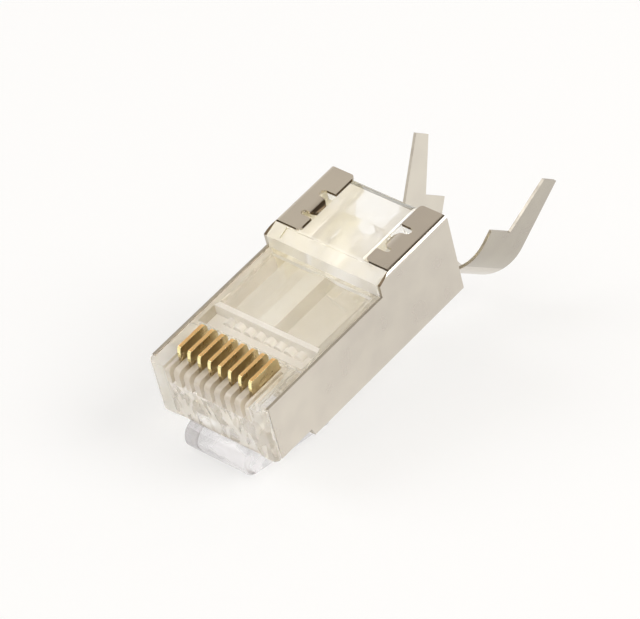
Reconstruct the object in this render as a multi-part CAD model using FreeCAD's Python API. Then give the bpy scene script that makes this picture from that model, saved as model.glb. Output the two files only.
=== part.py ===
"""Shielded eight-position modular plug with a cable-clamp tail, as supplied.

The contacts stand proud and the clamp's wings are open. Every piece is drawn in the plug's own frame:
nose face at y = 0, cable end towards +y, contacts up, the shield's underside at z = 0 and the middle
plane at x = 0. The whole plug is then set down as it lies on a table, on the flat underside of its latch.
"""
import FreeCAD, Part
import math
import os

os.makedirs("parts", exist_ok=True)
Vec = FreeCAD.Vector
X_AXIS = Vec(1, 0, 0)
Y_AXIS = Vec(0, 1, 0)

# ---- All sizes are in mm

# Whole plug
plug_width = 11.68          # over the shield's side walls
body_length = 21.70         # nose face to the housing's rear face
rear_height = 7.90          # over the shield's top flaps
front_height = 6.20         # housing's top ahead of the step
positions = 8               # contacts, slots and wire channels
pitch = 1.02                # contact to contact

# Shield, one stamped and folded sheet
sheet = 0.25
fold_radius = 0.45          # outside of the long folds
seat_gap = 0.03             # housing to shield, all round
shield_front = 0.55         # front edge of the side walls
rear_lip = 0.25             # shield behind the housing's rear face
side_foot = 1.06            # lower edge of the side walls ahead of the bottom plate
bottom_front = 4.37         # front edge of the bottom plate
notch_run = 0.38            # slant between side foot and bottom plate
wall_proud = 0.10           # side walls above the housing's front top
step_y = 13.85              # face of the step
step_height = 7.40          # top of the step's upright face
shoulder_y = 15.25          # where the slope meets the rear top
flap_inner = 3.30           # inner edge of the top flaps, from the middle
flap_corner = 0.35          # rounded corners of the flaps

# Claws stamped in the flaps and bent into the housing
claw_root = 4.20            # bend line, from the middle
claw_front = 17.15
claw_rear = 18.85
claw_corner = 0.70          # rounded corners of the tip
claw_relief_front = 0.50    # slot ahead of each claw
claw_relief_rear = 0.75     # slot behind each claw
claw_bend = 1.47            # middle radius of the bent claw
claw_angle = 32.5           # degrees of bend
claw_pocket_depth = 0.80    # housing's pocket under a claw
claw_pocket_side = 0.25     # room round the claw's cut-out

# Clamp tail, part of the same sheet
tail_drop = 43.0            # degrees below the bottom plate
tail_root_inset = 0.35      # from the shield's rear edge to where the neck turns down
neck_half_width = 1.90
neck_length = 3.55
neck_bend = 0.60            # middle radius of the neck's bend
cradle_radius = 4.15        # middle of the sheet
cradle_length = 5.15        # along the cable
wing_lean = 10.5            # degrees outward from upright
wing_shoulder = 7.00        # middle line to shoulder, along the sheet
wing_tip = 11.75            # middle line to tip, along the sheet
arm_base = 2.58             # arm's width at the shoulder
arm_end = 1.65              # arm's width at the tip

# Housing, clear moulding
nose_inset = 0.04           # nose inside the shield's outer width, each side
nose_bottom = 1.05
nose_edge = 0.25            # bevel round the nose
corner_block = 4.30         # inner face of the nose's corner blocks, from the middle
comb_setback = 0.05         # front of the comb behind the nose face
comb_crown = 5.70           # where the comb's front starts to curve back
comb_top = 0.50             # where the comb's curve reaches the housing's top
rail_width = 0.28           # groove beside the corner blocks
rail_depth = 0.30
front_pocket_half = 5.20
front_pocket_front = 5.05
front_pocket_floor = 5.20
ridge_front = 6.95
ridge_width = 0.45
main_pocket_half = 5.00
main_pocket_rear = 13.50
main_pocket_floor = 5.80
rib_half = 1.40             # foot of the lengthwise rib on the main pocket's floor
rib_crest = 0.40            # half the width of its flat crest
rib_height = 0.30
knuckle_radius = 0.40       # rounded ends over the wire channels
knuckle_length = 0.65
inset_half = 4.40           # shallow panel on the step's slope
inset_depth = 0.15
inset_margin = 0.25         # panel to the ends of the slope
rear_edge_bevel = 0.30      # between the flaps, along the rear face
seat_rim = 0.20             # bevel round the flap seats

# Contact slots and wire ways
slot_width = 0.44
slot_front = 1.05
slot_rear = 4.54
slot_floor = 3.25           # bottom of a slot, under its wire channel
slot_mouth = 4.60           # bottom of a slot through the comb
channel_radius = 0.46
channel_z = 3.90
channel_front = 1.30
cavity_front = 7.60         # where the channels open into the wire cavity
cavity_half = 4.15
cavity_low = 2.80
cavity_high = 4.95
cavity_rear = 16.20
entry_radius = 3.50         # cable entry, with a flat roof and a flat floor level with the bore's
entry_depth = 2.80
entry_chamfer = 0.40
bore_radius = 2.95          # round bore ahead of the entry
bore_depth = 4.40           # bore's far end, from the rear face
funnel_length = 3.00
funnel_radius = 1.90        # small end of the funnel

# Contacts, blades that stand proud until they are crimped
blade = 0.32                # thickness
blade_front = 1.20
blade_rear = 4.36
blade_top = 7.37
blade_tip = 4.75            # points of the teeth
blade_root = 5.45           # bottom of the blade between its teeth
blade_nose = 0.28           # top front corner's setback
blade_nose_drop = 0.70      # height of that setback
blade_heel = 0.42           # radius of the top rear corner
tooth_width = 0.95
tooth_count = 3
crimp_travel = 1.35         # how far crimping drives a contact down

# Latch
root_radius = 1.32          # rounded root ahead of the nose
root_y = 0.35
root_z = -0.28
root_gap = 0.08             # root to its seat in the housing
seat_wall = 0.80            # seat's wall behind the root
latch_angle = 13.0          # degrees from the housing's underside, relaxed
latch_thickness = 1.00
latch_half = 3.10
latch_shoulder = 8.10       # locking shoulders, along the arm from the root
latch_length = 14.60        # tip, along the arm from the root
tail_half = 1.60            # finger tail of the latch
tail_thickness = 0.80
tail_tip_radius = 0.90

# ---- Places worked out from the sizes
half_width = plug_width / 2
shield_rear = body_length + rear_lip
wall_top = front_height + wall_proud
housing_half = half_width - sheet - seat_gap
housing_belly = sheet + seat_gap
flap_seat = rear_height - sheet - seat_gap
ridge_rear = ridge_front + ridge_width
claw_relief_start = claw_front - claw_relief_front
claw_relief_end = claw_rear + claw_relief_rear
tail_root = shield_rear - tail_root_inset
MARGIN = 1.0                # how far a cutter runs past what it cuts
NAMES = ["contact_%d" % (i + 1) for i in range(positions)]


def box(x0, x1, y0, y1, z0, z1):
    return Part.makeBox(x1 - x0, y1 - y0, z1 - z0, Vec(x0, y0, z0))


def face_of(points):
    return Part.Face(Part.makePolygon(points + [points[0]]))


def side_plate(outline, half):
    """A (y, z) outline run across the plug, the same distance to both sides."""
    face = face_of([Vec(-half, y, z) for y, z in outline])
    return face.extrude(Vec(2 * half, 0, 0))


def plan_plate(outline, z0, z1):
    """An (x, y) outline run upwards."""
    face = face_of([Vec(x, y, z0) for x, y in outline])
    return face.extrude(Vec(0, 0, z1 - z0))


def rod(radius, start, direction, length):
    return Part.makeCylinder(radius, length, start, direction)


def fuse(pieces):
    return pieces[0].multiFuse(pieces[1:]).removeSplitter()


def mirrored(shape):
    return shape.mirror(Vec(0, 0, 0), X_AXIS)


def both_sides(shape):
    return [shape, mirrored(shape)]


def edges_along(shape, axis, keep):
    """Straight edges that run along an axis and pass the test on their middle point."""
    chosen = []
    for edge in shape.Edges:
        if not isinstance(edge.Curve, Part.Line):
            continue
        run = edge.Vertexes[-1].Point - edge.Vertexes[0].Point
        if run.Length > 0 and abs(run.dot(axis)) > 0.999 * run.Length and keep(edge.CenterOfMass):
            chosen.append(edge)
    return chosen


def contact_x(index):
    return (index - (positions - 1) / 2) * pitch


# ---- Shield

def folded_tube():
    outer = box(-half_width, half_width, shield_front, shield_rear, 0, rear_height)
    outer = outer.makeFillet(fold_radius, edges_along(outer, Y_AXIS, lambda p: True))
    inner_half = half_width - sheet
    inner = box(-inner_half, inner_half, shield_front - MARGIN, shield_rear + MARGIN,
                sheet, rear_height - sheet)
    inner = inner.makeFillet(fold_radius - sheet, edges_along(inner, Y_AXIS, lambda p: True))
    return outer.cut(inner)


def above_the_walls():
    """Everything over the side walls' top edge, from the nose to the shoulder of the step."""
    far = rear_height + MARGIN
    outline = [(shield_front - MARGIN, wall_top), (step_y, wall_top), (step_y, step_height),
               (shoulder_y, rear_height), (shoulder_y, far), (shield_front - MARGIN, far)]
    return side_plate(outline, half_width + MARGIN)


def inside_of_the_slope():
    """Ahead of the flaps only the side walls stand: nothing of the folds is left inside them."""
    inner = half_width - sheet
    return box(-inner, inner, shield_front - MARGIN, shoulder_y, wall_top, rear_height + MARGIN)


def below_the_front():
    """Everything under the side walls' foot, ahead of the bottom plate."""
    outline = [(shield_front - MARGIN, side_foot), (bottom_front - notch_run, side_foot),
               (bottom_front, 0), (bottom_front, -MARGIN), (shield_front - MARGIN, -MARGIN)]
    return side_plate(outline, half_width + MARGIN)


def bottom_opening():
    """The bottom plate stops square, a little behind the slanted notch."""
    inner = half_width - fold_radius
    return box(-inner, inner, shield_front - MARGIN, bottom_front, -MARGIN, side_foot)


def top_window():
    """The gap between the two flaps, with rounded flap corners."""
    window = box(-flap_inner, flap_inner, shoulder_y - MARGIN, shield_rear + MARGIN,
                 flap_seat - sheet, rear_height + MARGIN)
    corners = []
    for y, toward in ((shoulder_y, 1), (shield_rear, -1)):
        block = box(flap_inner - MARGIN, flap_inner + flap_corner,
                    min(y, y + toward * flap_corner), max(y, y + toward * flap_corner),
                    flap_seat - sheet, rear_height + MARGIN)
        centre = Vec(flap_inner + flap_corner, y + toward * flap_corner, flap_seat - sheet)
        round_part = rod(flap_corner, centre, Vec(0, 0, 1), rear_height + MARGIN - flap_seat + sheet)
        corners += both_sides(block.cut(round_part))
    return fuse([window] + corners)


def relief_slot(start, end):
    """Slot beside a claw, open to the flap's inner edge, with a round end on the claw's bend line."""
    low, height = flap_seat - sheet, rear_height + MARGIN - flap_seat + sheet
    straight = box(flap_inner - MARGIN, claw_root, start, end, low, low + height)
    return [straight, rod((end - start) / 2, Vec(claw_root, (start + end) / 2, low), Vec(0, 0, 1), height)]


def claw_cutout():
    """Window for the claw with a slot on each side of it."""
    window = box(flap_inner - MARGIN, claw_root, claw_front - sheet, claw_rear + sheet,
                 flap_seat - sheet, rear_height + MARGIN)
    return fuse([window] + relief_slot(claw_relief_start, claw_front)
                + relief_slot(claw_rear, claw_relief_end))


def claw():
    """A round-ended tongue, bent down from the flap towards the middle of the plug."""
    turn = math.radians(claw_angle)
    centre_z = rear_height - sheet / 2 - claw_bend
    start = Vec(claw_root, claw_front, centre_z)
    width = claw_rear - claw_front
    outer = Part.makeCylinder(claw_bend + sheet / 2, width, start, Y_AXIS)
    inner = Part.makeCylinder(claw_bend - sheet / 2, width, start, Y_AXIS)
    reach = claw_bend + sheet
    far = Vec(claw_root - reach * math.sin(turn) / math.cos(turn / 2), claw_front,
              centre_z + reach * math.cos(turn) / math.cos(turn / 2))
    top = Vec(claw_root - reach * math.tan(turn / 2), claw_front, centre_z + reach)
    wedge = face_of([start, far, top, Vec(claw_root, claw_front, centre_z + reach)])
    tongue = outer.cut(inner).common(wedge.extrude(Vec(0, width, 0)))
    tip = claw_root - (claw_bend + sheet / 2) * math.sin(turn)
    outline = box(tip, claw_root, claw_front, claw_rear, centre_z, centre_z + reach + MARGIN)
    corners = edges_along(outline, Vec(0, 0, 1), lambda p: p.x < tip + sheet)
    return tongue.common(outline.makeFillet(claw_corner, corners))


def tail_place(shape):
    """From the tail's own frame (y along the cable, z away from the cradle's floor) to the plug's frame."""
    shape.rotate(Vec(0, 0, 0), X_AXIS, -tail_drop)
    shape.translate(Vec(0, tail_root, sheet / 2))
    return shape


def tail_point(x, along, up):
    turn = math.radians(tail_drop)
    y = tail_root + along * math.cos(turn) + up * math.sin(turn)
    z = sheet / 2 - along * math.sin(turn) + up * math.cos(turn)
    return Vec(x, y, z)


def neck():
    """Strip from the bottom plate, bent down along an arc, into the cradle's floor."""
    turn = math.radians(tail_drop)
    tangent = neck_bend * math.tan(turn / 2)
    bend_start = tail_root - tangent
    centre = Vec(-neck_half_width, bend_start, sheet / 2 - neck_bend)

    def on_arc(radius, angle):
        return centre + Vec(0, radius * math.sin(angle), radius * math.cos(angle))

    inner, outer = neck_bend - sheet / 2, neck_bend + sheet / 2
    end = neck_length + sheet
    overlap = bend_start - 2 * sheet
    near_end = tail_point(-neck_half_width, end, sheet / 2)
    far_end = tail_point(-neck_half_width, end, -sheet / 2)
    start_top = Vec(-neck_half_width, overlap, sheet)
    start_low = Vec(-neck_half_width, overlap, 0)
    edges = [
        Part.makeLine(start_top, on_arc(outer, 0)),
        Part.Arc(on_arc(outer, 0), on_arc(outer, turn / 2), on_arc(outer, turn)).toShape(),
        Part.makeLine(on_arc(outer, turn), near_end),
        Part.makeLine(near_end, far_end),
        Part.makeLine(far_end, on_arc(inner, turn)),
        Part.Arc(on_arc(inner, turn), on_arc(inner, turn / 2), on_arc(inner, 0)).toShape(),
        Part.makeLine(on_arc(inner, 0), start_low),
        Part.makeLine(start_low, start_top),
    ]
    face = Part.Face(Part.Wire(edges))
    return face.extrude(Vec(2 * neck_half_width, 0, 0))


def cradle_floor():
    """The round trough that the cable lies in, in the tail's own frame."""
    axis_start = Vec(0, neck_length, cradle_radius)
    outer = rod(cradle_radius + sheet / 2, axis_start, Y_AXIS, cradle_length)
    inner = rod(cradle_radius - sheet / 2, axis_start, Y_AXIS, cradle_length)
    sweep = math.radians(90 - wing_lean)
    reach = 2 * cradle_radius
    side = Vec(reach * math.sin(sweep), neck_length, cradle_radius - reach * math.cos(sweep))
    floor = Vec(side.x, neck_length, -reach)
    wedge = face_of([axis_start, side, floor, Vec(-side.x, neck_length, -reach),
                     Vec(-side.x, neck_length, side.z)])
    return outer.cut(inner).common(wedge.extrude(Vec(0, cradle_length, 0)))


def wing(arm_at_rear):
    """Flat of one wing with its shoulder and narrower arm, on the +x side, in the tail's own frame."""
    sweep = math.radians(90 - wing_lean)
    arc_length = cradle_radius * sweep
    front, rear = neck_length, neck_length + cradle_length
    shoulder = wing_shoulder - arc_length
    tip = wing_tip - arc_length
    if arm_at_rear:
        outline = [(0, front), (shoulder, front), (shoulder, rear - arm_base), (tip, rear - arm_end),
                   (tip, rear), (0, rear)]
    else:
        outline = [(0, front), (tip, front), (tip, front + arm_end), (shoulder, front + arm_base),
                   (shoulder, rear), (0, rear)]
    flat = plan_plate(outline, -sheet / 2, sheet / 2)
    flat.rotate(Vec(0, 0, 0), Y_AXIS, -math.degrees(sweep))
    flat.translate(Vec(cradle_radius * math.sin(sweep), 0, cradle_radius * (1 - math.cos(sweep))))
    return flat


def clamp_tail():
    pieces = [tail_place(cradle_floor()), tail_place(wing(True)), tail_place(mirrored(wing(False)))]
    return [neck()] + pieces


def make_shield():
    shell = folded_tube().cut(above_the_walls()).cut(inside_of_the_slope())
    shell = shell.cut(below_the_front()).cut(bottom_opening())
    shell = shell.cut(top_window())
    for cutter in both_sides(claw_cutout()):
        shell = shell.cut(cutter)
    return fuse([shell] + both_sides(claw()) + clamp_tail())


# ---- Housing

def housing_block():
    outline = [(shield_front, nose_bottom), (shield_front, front_height), (step_y, front_height),
               (step_y, step_height), (shoulder_y, rear_height), (body_length, rear_height),
               (body_length, housing_belly), (bottom_front + notch_run, housing_belly),
               (bottom_front, nose_bottom)]
    block = side_plate(outline, housing_half)
    for seat in flap_seats():
        block = block.cut(seat)

    def in_a_fold(p):
        return abs(p.x) > housing_half - seat_gap and (p.z < nose_bottom / 2 or p.z > flap_seat - seat_gap)

    block = block.makeFillet(fold_radius - sheet, edges_along(block, Y_AXIS, in_a_fold))

    def at_the_rear_top(p):
        return p.y > body_length - sheet and p.z > rear_height - sheet / 2

    block = block.makeChamfer(rear_edge_bevel, edges_along(block, X_AXIS, at_the_rear_top))
    for rim in seat_rims():
        block = block.cut(rim)
    return block


def nose_block():
    half = half_width - nose_inset
    block = box(-half, half, 0, shield_front - seat_gap, nose_bottom, front_height)
    block = block.makeChamfer(nose_edge, edges_along(block, Vec(0, 0, 1), lambda p: p.y < nose_edge))
    link = box(-housing_half, housing_half, shield_front / 2, shield_front + MARGIN,
               nose_bottom, front_height)
    return fuse([block, link])


def latch_seat():
    """Block under the nose with the round seat that the latch's root sits in."""
    rear = root_y + root_radius + root_gap + seat_wall
    block = box(-latch_half, latch_half, root_y, rear, root_z, nose_bottom + MARGIN)
    hollow = rod(root_radius + root_gap, Vec(-latch_half - MARGIN, root_y, root_z), X_AXIS,
                 2 * (latch_half + MARGIN))
    return block, hollow


def comb_relief():
    """Space ahead of the comb: upright face, then a curve back to the housing's top."""
    low = nose_bottom - MARGIN
    rise = front_height - comb_crown
    run = comb_top - comb_setback
    half = corner_block
    turn = math.radians(45)
    start = Vec(-half, comb_setback, comb_crown)
    middle = Vec(-half, comb_setback + run * (1 - math.cos(turn)), comb_crown + rise * math.sin(turn))
    end = Vec(-half, comb_top, front_height)
    above = front_height + MARGIN
    corners = [end, Vec(-half, comb_top, above), Vec(-half, -MARGIN, above),
               Vec(-half, -MARGIN, low), Vec(-half, comb_setback, low), start]
    edges = [Part.Arc(start, middle, end).toShape()]
    edges += [Part.makeLine(a, b) for a, b in zip(corners, corners[1:])]
    face = Part.Face(Part.Wire(edges))
    return face.extrude(Vec(2 * half, 0, 0))


def contact_slot(x):
    half = slot_width / 2
    straight_end = slot_rear - half
    deep = box(x - half, x + half, slot_front, straight_end, slot_floor, front_height + MARGIN)
    end = rod(half, Vec(x, straight_end, slot_floor), Vec(0, 0, 1), front_height + MARGIN - slot_floor)
    mouth = box(x - half, x + half, -MARGIN, slot_front + half, slot_mouth, front_height + MARGIN)
    return [deep, end, mouth]


def wire_channel(x):
    length = cavity_front + MARGIN - channel_front
    return rod(channel_radius, Vec(x, channel_front, channel_z), Y_AXIS, length)


def rail_groove():
    """Narrow groove in the top, along each end of the contact row."""
    outer = corner_block
    return box(outer - rail_width, outer, -MARGIN, slot_rear - slot_width, front_height - rail_depth,
               front_height + MARGIN)


def front_pocket():
    return box(-front_pocket_half, front_pocket_half, front_pocket_front, ridge_front,
               front_pocket_floor, front_height + MARGIN)


def knuckles():
    """Rounded ends of the wire channels' roofs, at the foot of the ridge."""
    start = ridge_front - knuckle_length
    length = knuckle_length + ridge_width
    return [rod(knuckle_radius, Vec(contact_x(i), start, front_pocket_floor), Y_AXIS, length)
            for i in range(positions)]


def main_pocket():
    return box(-main_pocket_half, main_pocket_half, ridge_rear, main_pocket_rear, main_pocket_floor,
               front_height + MARGIN)


def floor_rib():
    """Low rib with sloping flanks along the middle of the main pocket."""
    top = main_pocket_floor + rib_height
    base = main_pocket_floor - rib_height
    outline = [Vec(-rib_half, ridge_rear, base), Vec(-rib_half, ridge_rear, main_pocket_floor),
               Vec(-rib_crest, ridge_rear, top), Vec(rib_crest, ridge_rear, top),
               Vec(rib_half, ridge_rear, main_pocket_floor), Vec(rib_half, ridge_rear, base)]
    return face_of(outline).extrude(Vec(0, main_pocket_rear - ridge_rear, 0))


def slope_inset():
    """Shallow panel sunk into the slope behind the step."""
    run, rise = shoulder_y - step_y, rear_height - step_height
    length = math.hypot(run, rise)
    along = Vec(0, run / length, rise / length)
    normal = Vec(0, -rise / length, run / length)
    start = Vec(-inset_half, step_y, step_height) + along * inset_margin
    end = Vec(-inset_half, shoulder_y, rear_height) - along * inset_margin
    outline = [start - normal * inset_depth, end - normal * inset_depth, end + normal * MARGIN,
               start + normal * MARGIN]
    return face_of(outline).extrude(Vec(2 * inset_half, 0, 0))


def flap_seats():
    seat = box(flap_inner - seat_gap, half_width + MARGIN, shoulder_y, body_length + MARGIN,
               flap_seat, rear_height + MARGIN)
    return both_sides(seat)


def seat_rims():
    """Bevels that leave the inner and front edges of the flaps in view."""
    inner = flap_inner - seat_gap
    high = rear_height + MARGIN
    side = [Vec(inner - seat_rim, shoulder_y, rear_height), Vec(inner, shoulder_y, rear_height - seat_rim),
            Vec(inner, shoulder_y, high), Vec(inner - seat_rim, shoulder_y, high)]
    front = [Vec(inner, shoulder_y - seat_rim, rear_height), Vec(inner, shoulder_y, rear_height - seat_rim),
             Vec(inner, shoulder_y, high), Vec(inner, shoulder_y - seat_rim, high)]
    along = face_of(side).extrude(Vec(0, body_length + MARGIN - shoulder_y, 0))
    across = face_of(front).extrude(Vec(half_width, 0, 0))
    return both_sides(along) + both_sides(across)


def claw_pockets():
    side = claw_pocket_side
    pocket = box(flap_inner - side / 2, claw_root + side,
                 claw_relief_start - side / 2, claw_relief_end + side / 2,
                 flap_seat - claw_pocket_depth, rear_height + MARGIN)
    return both_sides(pocket)


def cable_ways():
    """Flat-roofed entry, round bore, funnel and flat wire cavity, one behind the other."""
    axis_z = rear_height / 2
    mouth = body_length
    bore_end = mouth - bore_depth
    entry = rod(entry_radius, Vec(0, mouth - entry_depth, axis_z), Y_AXIS, entry_depth + MARGIN)
    lead = Part.makeCone(entry_radius, entry_radius + entry_chamfer + MARGIN, entry_chamfer + MARGIN,
                         Vec(0, mouth - entry_chamfer, axis_z), Y_AXIS)
    flats = box(-half_width, half_width, bore_end, mouth + 2 * MARGIN,
                axis_z - bore_radius, axis_z + bore_radius)
    bore = rod(bore_radius, Vec(0, bore_end, axis_z), Y_AXIS, bore_depth)
    funnel = Part.makeCone(funnel_radius, bore_radius, funnel_length,
                           Vec(0, bore_end - funnel_length, axis_z), Y_AXIS)
    cavity = box(-cavity_half, cavity_half, cavity_front, cavity_rear, cavity_low, cavity_high)
    return fuse([fuse([entry, lead]).common(flats), bore, funnel, cavity])


def make_housing():
    seat_block, seat_hollow = latch_seat()
    body = fuse([housing_block(), nose_block(), seat_block])
    body = body.cut(seat_hollow).cut(comb_relief()).cut(front_pocket()).cut(main_pocket())
    body = fuse([body] + knuckles() + [floor_rib()])
    cutters = claw_pockets() + both_sides(rail_groove()) + [slope_inset(), cable_ways()]
    for i in range(positions):
        cutters += contact_slot(contact_x(i)) + [wire_channel(contact_x(i))]
    for cutter in cutters:
        body = body.cut(cutter)
    return body.removeSplitter()


# ---- Contacts

def make_contact(index):
    """A blade with a rounded heel, a set-back top front corner and a row of wire-piercing teeth."""
    gap = (blade_rear - blade_front - tooth_count * tooth_width) / (tooth_count - 1)
    outline = []
    for tooth in range(tooth_count):
        start = blade_front + tooth * (tooth_width + gap)
        outline += [(start, blade_root), (start + tooth_width / 2, blade_tip),
                    (start + tooth_width, blade_root)]
    outline += [(blade_rear, blade_top), (blade_front + blade_nose, blade_top),
                (blade_front + blade_nose / 2, blade_top - blade_nose / 2),
                (blade_front, blade_top - blade_nose_drop)]
    plate = side_plate(outline, blade / 2)
    near_heel = lambda p: p.y > blade_rear - blade_nose and p.z > blade_top - blade_nose
    plate = plate.makeFillet(blade_heel, edges_along(plate, X_AXIS, near_heel))
    plate.translate(Vec(contact_x(index), 0, 0))
    return plate


# ---- Latch

def make_latch():
    """Round root, wide arm to the locking shoulders and a narrower finger tail, moulded at a slant."""
    root = rod(root_radius, Vec(-latch_half, 0, 0), X_AXIS, 2 * latch_half)
    arm_top = latch_thickness - root_radius
    arm = box(-latch_half, latch_half, 0, latch_shoulder, -root_radius, arm_top)
    tail_top = tail_thickness - root_radius
    tip_start = latch_length - tail_tip_radius
    tail = box(-tail_half, tail_half, latch_shoulder - MARGIN, tip_start, -root_radius, tail_top)
    tip = box(-tail_half, tail_half, tip_start - MARGIN, latch_length, -root_radius, tail_top)
    far_corner = lambda p: p.y > latch_length - MARGIN
    tip = tip.makeFillet(tail_tip_radius, edges_along(tip, Vec(0, 0, 1), far_corner))
    latch = fuse([root, arm, tail, tip])
    latch.rotate(Vec(0, 0, 0), X_AXIS, -latch_angle)
    latch.translate(Vec(0, root_y, root_z))
    return latch


# ---- Setting down

def set_down(nodes):
    """Turn the plug until its latch lies flat, and put the middle of its box's underside at the origin."""
    for shape in nodes.values():
        shape.rotate(Vec(0, 0, 0), X_AXIS, latch_angle)
    whole = FreeCAD.BoundBox()
    for shape in nodes.values():
        whole.add(shape.optimalBoundingBox(False))
    shift = Vec(-(whole.XMin + whole.XMax) / 2, -(whole.YMin + whole.YMax) / 2, -whole.ZMin)
    for shape in nodes.values():
        shape.translate(shift)
    return shift, whole


def main():
    nodes = {"housing": make_housing(), "shield": make_shield(), "latch": make_latch()}
    for index, name in enumerate(NAMES):
        nodes[name] = make_contact(index)
    shift, whole = set_down(nodes)
    for name, shape in nodes.items():
        print(name, "solids", len(shape.Solids), "valid", shape.isValid(), "volume %.3f" % shape.Volume)
        shape.exportStep("parts/%s.step" % name)
    print("box %.3f %.3f %.3f" % (whole.XLength, whole.YLength, whole.ZLength))
    print("shift %.4f %.4f %.4f" % (shift.x, shift.y, shift.z))


main()
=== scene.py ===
# %% [markdown]
# # A shielded modular plug, dressed
#
# The plug is a clear moulded housing in a folded metal shield, with eight gold-plated blades in its nose,
# a latch underneath and a cable clamp behind. The solid model is exact about sizes and places, but it is
# plain: most of its edges are knife sharp and nothing has a finish. This lesson gives each piece the small
# rounded edges and the surface that the real one has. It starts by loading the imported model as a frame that
# stays as it is.

# %% Load the frame
import math

import bmesh
import bpy
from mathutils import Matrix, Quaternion, Vector


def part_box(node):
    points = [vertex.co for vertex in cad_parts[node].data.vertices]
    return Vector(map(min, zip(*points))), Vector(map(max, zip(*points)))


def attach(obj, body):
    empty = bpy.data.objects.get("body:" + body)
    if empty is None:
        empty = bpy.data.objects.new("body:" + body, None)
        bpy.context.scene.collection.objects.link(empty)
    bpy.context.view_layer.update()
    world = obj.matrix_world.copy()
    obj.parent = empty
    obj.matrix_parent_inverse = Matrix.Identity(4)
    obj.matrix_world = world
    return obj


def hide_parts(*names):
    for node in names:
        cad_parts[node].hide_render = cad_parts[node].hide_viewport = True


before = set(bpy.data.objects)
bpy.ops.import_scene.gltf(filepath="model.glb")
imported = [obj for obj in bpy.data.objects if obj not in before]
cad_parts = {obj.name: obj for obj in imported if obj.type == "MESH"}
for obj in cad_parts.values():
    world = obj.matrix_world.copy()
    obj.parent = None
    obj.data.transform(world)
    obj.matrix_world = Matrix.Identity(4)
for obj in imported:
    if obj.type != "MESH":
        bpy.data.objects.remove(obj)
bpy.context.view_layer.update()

MM = 0.001

# %% [markdown]
# ## Camera
#
# A long lens from far away keeps parallel edges nearly parallel, which is how small parts are usually
# shown. The camera is described as one sets up a tripod: how far round, how far up, how far away, and a
# slight tilt of its head. A place and three angles would do as well, but they can't be changed one at a
# time. Setting the camera first lets every later choice be judged in the same view.

# %% Camera
CAMERA_AZIMUTH = math.radians(43.2)
CAMERA_ELEVATION = math.radians(34.25)
CAMERA_ROLL = math.radians(-2.93)
CAMERA_DISTANCE = 354.9 * MM
CAMERA_TARGET = Vector((-2.02, -2.34, 5.59)) * MM
CAMERA_LENS = 261.6
CAMERA_SENSOR = 36.0
CAMERA_REACH = (0.01, 10.0)     # nearest and farthest that is drawn


def add_camera():
    toward = Vector((math.sin(CAMERA_AZIMUTH) * math.cos(CAMERA_ELEVATION),
                     -math.cos(CAMERA_AZIMUTH) * math.cos(CAMERA_ELEVATION),
                     math.sin(CAMERA_ELEVATION)))
    data = bpy.data.cameras.new("camera")
    data.lens = CAMERA_LENS
    data.sensor_width = CAMERA_SENSOR
    data.clip_start, data.clip_end = CAMERA_REACH
    camera = bpy.data.objects.new("camera", data)
    camera.location = CAMERA_TARGET + toward * CAMERA_DISTANCE
    camera.rotation_mode = "QUATERNION"
    camera.rotation_quaternion = (-toward).to_track_quat("-Z", "Y") @ Quaternion((0, 0, 1), CAMERA_ROLL)
    bpy.context.scene.collection.objects.link(camera)
    bpy.context.scene.camera = camera
    return camera


camera = add_camera()
bpy.context.scene.view_settings.view_transform = "Standard"
print("camera at", [round(c / MM, 1) for c in camera.location], "mm")

# %% [markdown]
# ## Small helpers for node trees
#
# Every material, the world, the floor and the row of blades are node trees. A few helpers keep them short.
# One adds a node and sets its plain values, and the others each place one kind of node, take plain values or
# sockets for its inputs, and hand back its result.

# %% Node helpers


def add_node(tree, kind, **values):
    """Add a node; a value's name is a property of the node or, failing that, one of its inputs."""
    node = tree.nodes.new(kind)
    for name, value in values.items():
        if hasattr(node, name):
            setattr(node, name, value)
        else:
            node.inputs[name.replace("_", " ")].default_value = value
    return node


def feed(tree, socket, source):
    """Link a socket to a source, or set it where the source is a plain value."""
    if isinstance(source, bpy.types.NodeSocket):
        tree.links.new(source, socket)
    else:
        socket.default_value = source


def maths(tree, operation, first, second=0.0):
    node = add_node(tree, "ShaderNodeMath", operation=operation)
    feed(tree, node.inputs[0], first)
    feed(tree, node.inputs[1], second)
    return node.outputs[0]


def vector_maths(tree, operation, output, first, second):
    node = add_node(tree, "ShaderNodeVectorMath", operation=operation)
    feed(tree, node.inputs[0], first)
    feed(tree, node.inputs["Scale"] if operation == "SCALE" else node.inputs[1], second)
    return node.outputs[output]


def spread(tree, value, source, target=(0.0, 1.0)):
    """Map one span of values onto another and hold both ends."""
    node = add_node(tree, "ShaderNodeMapRange")
    feed(tree, node.inputs["Value"], value)
    node.inputs["From Min"].default_value, node.inputs["From Max"].default_value = source
    node.inputs["To Min"].default_value, node.inputs["To Max"].default_value = target
    return node.outputs["Result"]


def colour_mix(tree, factor, first, second):
    node = add_node(tree, "ShaderNodeMix", data_type="RGBA")
    colours = [socket for socket in node.inputs if socket.type == "RGBA"]
    feed(tree, node.inputs["Factor"], factor)
    feed(tree, colours[0], first)
    feed(tree, colours[1], second)
    return next(socket for socket in node.outputs if socket.type == "RGBA")


def shader_mix(tree, factor, first, second):
    node = add_node(tree, "ShaderNodeMixShader")
    feed(tree, node.inputs["Fac"], factor)
    feed(tree, node.inputs[1], first)
    feed(tree, node.inputs[2], second)
    return node.outputs["Shader"]


def start_material(name, **values):
    """A material whose Principled shader has the given plain values."""
    material = bpy.data.materials.new(name)
    material.use_nodes = True
    shader = material.node_tree.nodes["Principled BSDF"]
    for socket, value in values.items():
        shader.inputs[socket.replace("_", " ")].default_value = value
    return material, shader


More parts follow.
